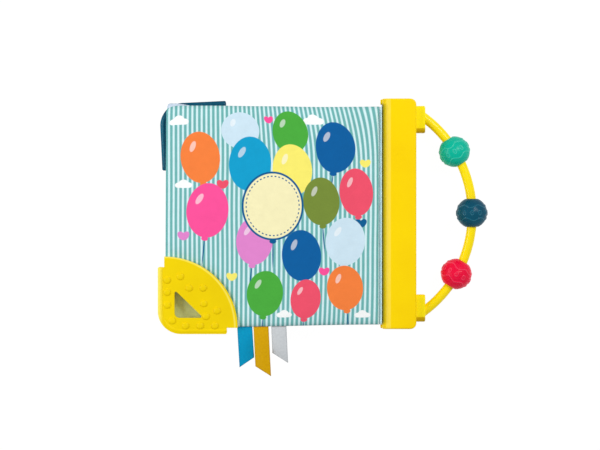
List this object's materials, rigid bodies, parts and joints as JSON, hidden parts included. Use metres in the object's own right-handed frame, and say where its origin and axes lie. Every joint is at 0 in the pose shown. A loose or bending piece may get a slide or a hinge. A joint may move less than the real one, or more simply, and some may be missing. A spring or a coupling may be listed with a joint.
{
  "type": "crinkle cloth book",
  "caption": "Padded cloth book with turning leaves in a moulded spine bar, a bent handle with sliding beads, silicone corner teethers and sewn-in ribbons.",
  "frame": {"origin": "centre of the spine bar's flat rear face, in the plane that the closed book lies on", "axes": "+X from the spine bar to the bead handle, +Y to the top of the page, +Z out of the front cover"},
  "size_m": [0.2159, 0.1833, 0.022],
  "materials": {
    "yellow_plastic": "smooth satin-gloss moulded plastic",
    "green_plastic": "smooth gloss moulded plastic",
    "teal_plastic": "smooth gloss moulded plastic",
    "red_plastic": "smooth gloss moulded plastic",
    "cover_cloth": "printed woven polyester, narrow teal and white stripes",
    "leaf_cloth": "printed woven polyester",
    "wadding": "white polyester wadding",
    "crinkle_film": "thin crackling plastic film",
    "yellow_silicone": "satin silicone rubber",
    "teal_silicone": "satin silicone rubber",
    "blue_ribbon": "satin ribbon",
    "yellow_ribbon": "satin ribbon",
    "white_ribbon": "satin ribbon"
  },
  "bodies": {
    "root": {"spine_front_shell": "yellow_plastic", "spine_rear_shell": "yellow_plastic", "handle_tube": "yellow_plastic", "front_cover_hem": "cover_cloth", "inner_leaf_hem": "leaf_cloth", "back_cover_hem": "cover_cloth"},
    "inner_leaf": {"inner_leaf_cloth": "leaf_cloth", "inner_leaf_wadding": "wadding", "inner_leaf_crinkle_film": "crinkle_film"},
    "front_cover": {"front_cover_cloth": "cover_cloth", "front_cover_wadding": "wadding", "front_cover_crinkle_film": "crinkle_film", "yellow_corner_teether": "yellow_silicone", "ribbon_blue": "blue_ribbon", "ribbon_yellow": "yellow_ribbon", "ribbon_white": "white_ribbon"},
    "back_cover": {"back_cover_cloth": "cover_cloth", "back_cover_wadding": "wadding", "back_cover_crinkle_film": "crinkle_film", "teal_corner_teether": "teal_silicone"},
    "green_bead": {"bead_green": "green_plastic"},
    "teal_bead": {"bead_teal": "teal_plastic"},
    "red_bead": {"bead_red": "red_plastic"}
  },
  "joints": [
    {"name": "inner_leaf_turn", "type": "hinge", "parent": "root", "child": "inner_leaf", "pos_m": [-0.0153, 0, 0.0167], "axis": [0, -1, 0], "range_deg": [-130, 0]},
    {"name": "front_cover_turn", "type": "hinge", "parent": "inner_leaf", "child": "front_cover", "pos_m": [-0.0153, 0, 0.0167], "axis": [0, 1, 0], "range_deg": [0, 130]},
    {"name": "back_cover_turn", "type": "hinge", "parent": "root", "child": "back_cover", "pos_m": [-0.0153, 0, 0.0053], "axis": [0, 1, 0], "range_deg": [-130, 0]},
    {"name": "green_bead_slide", "type": "hinge", "parent": "root", "child": "green_bead", "pos_m": [-0.0318, 0, 0.011], "axis": [0, 0, 1], "range_deg": [-15.8, 10]},
    {"name": "teal_bead_slide", "type": "hinge", "parent": "root", "child": "teal_bead", "pos_m": [-0.0318, 0, 0.011], "axis": [0, 0, 1], "range_deg": [-14.5, 14.5]},
    {"name": "red_bead_slide", "type": "hinge", "parent": "root", "child": "red_bead", "pos_m": [-0.0318, 0, 0.011], "axis": [0, 0, 1], "range_deg": [-11, 14.5]}
  ]
}
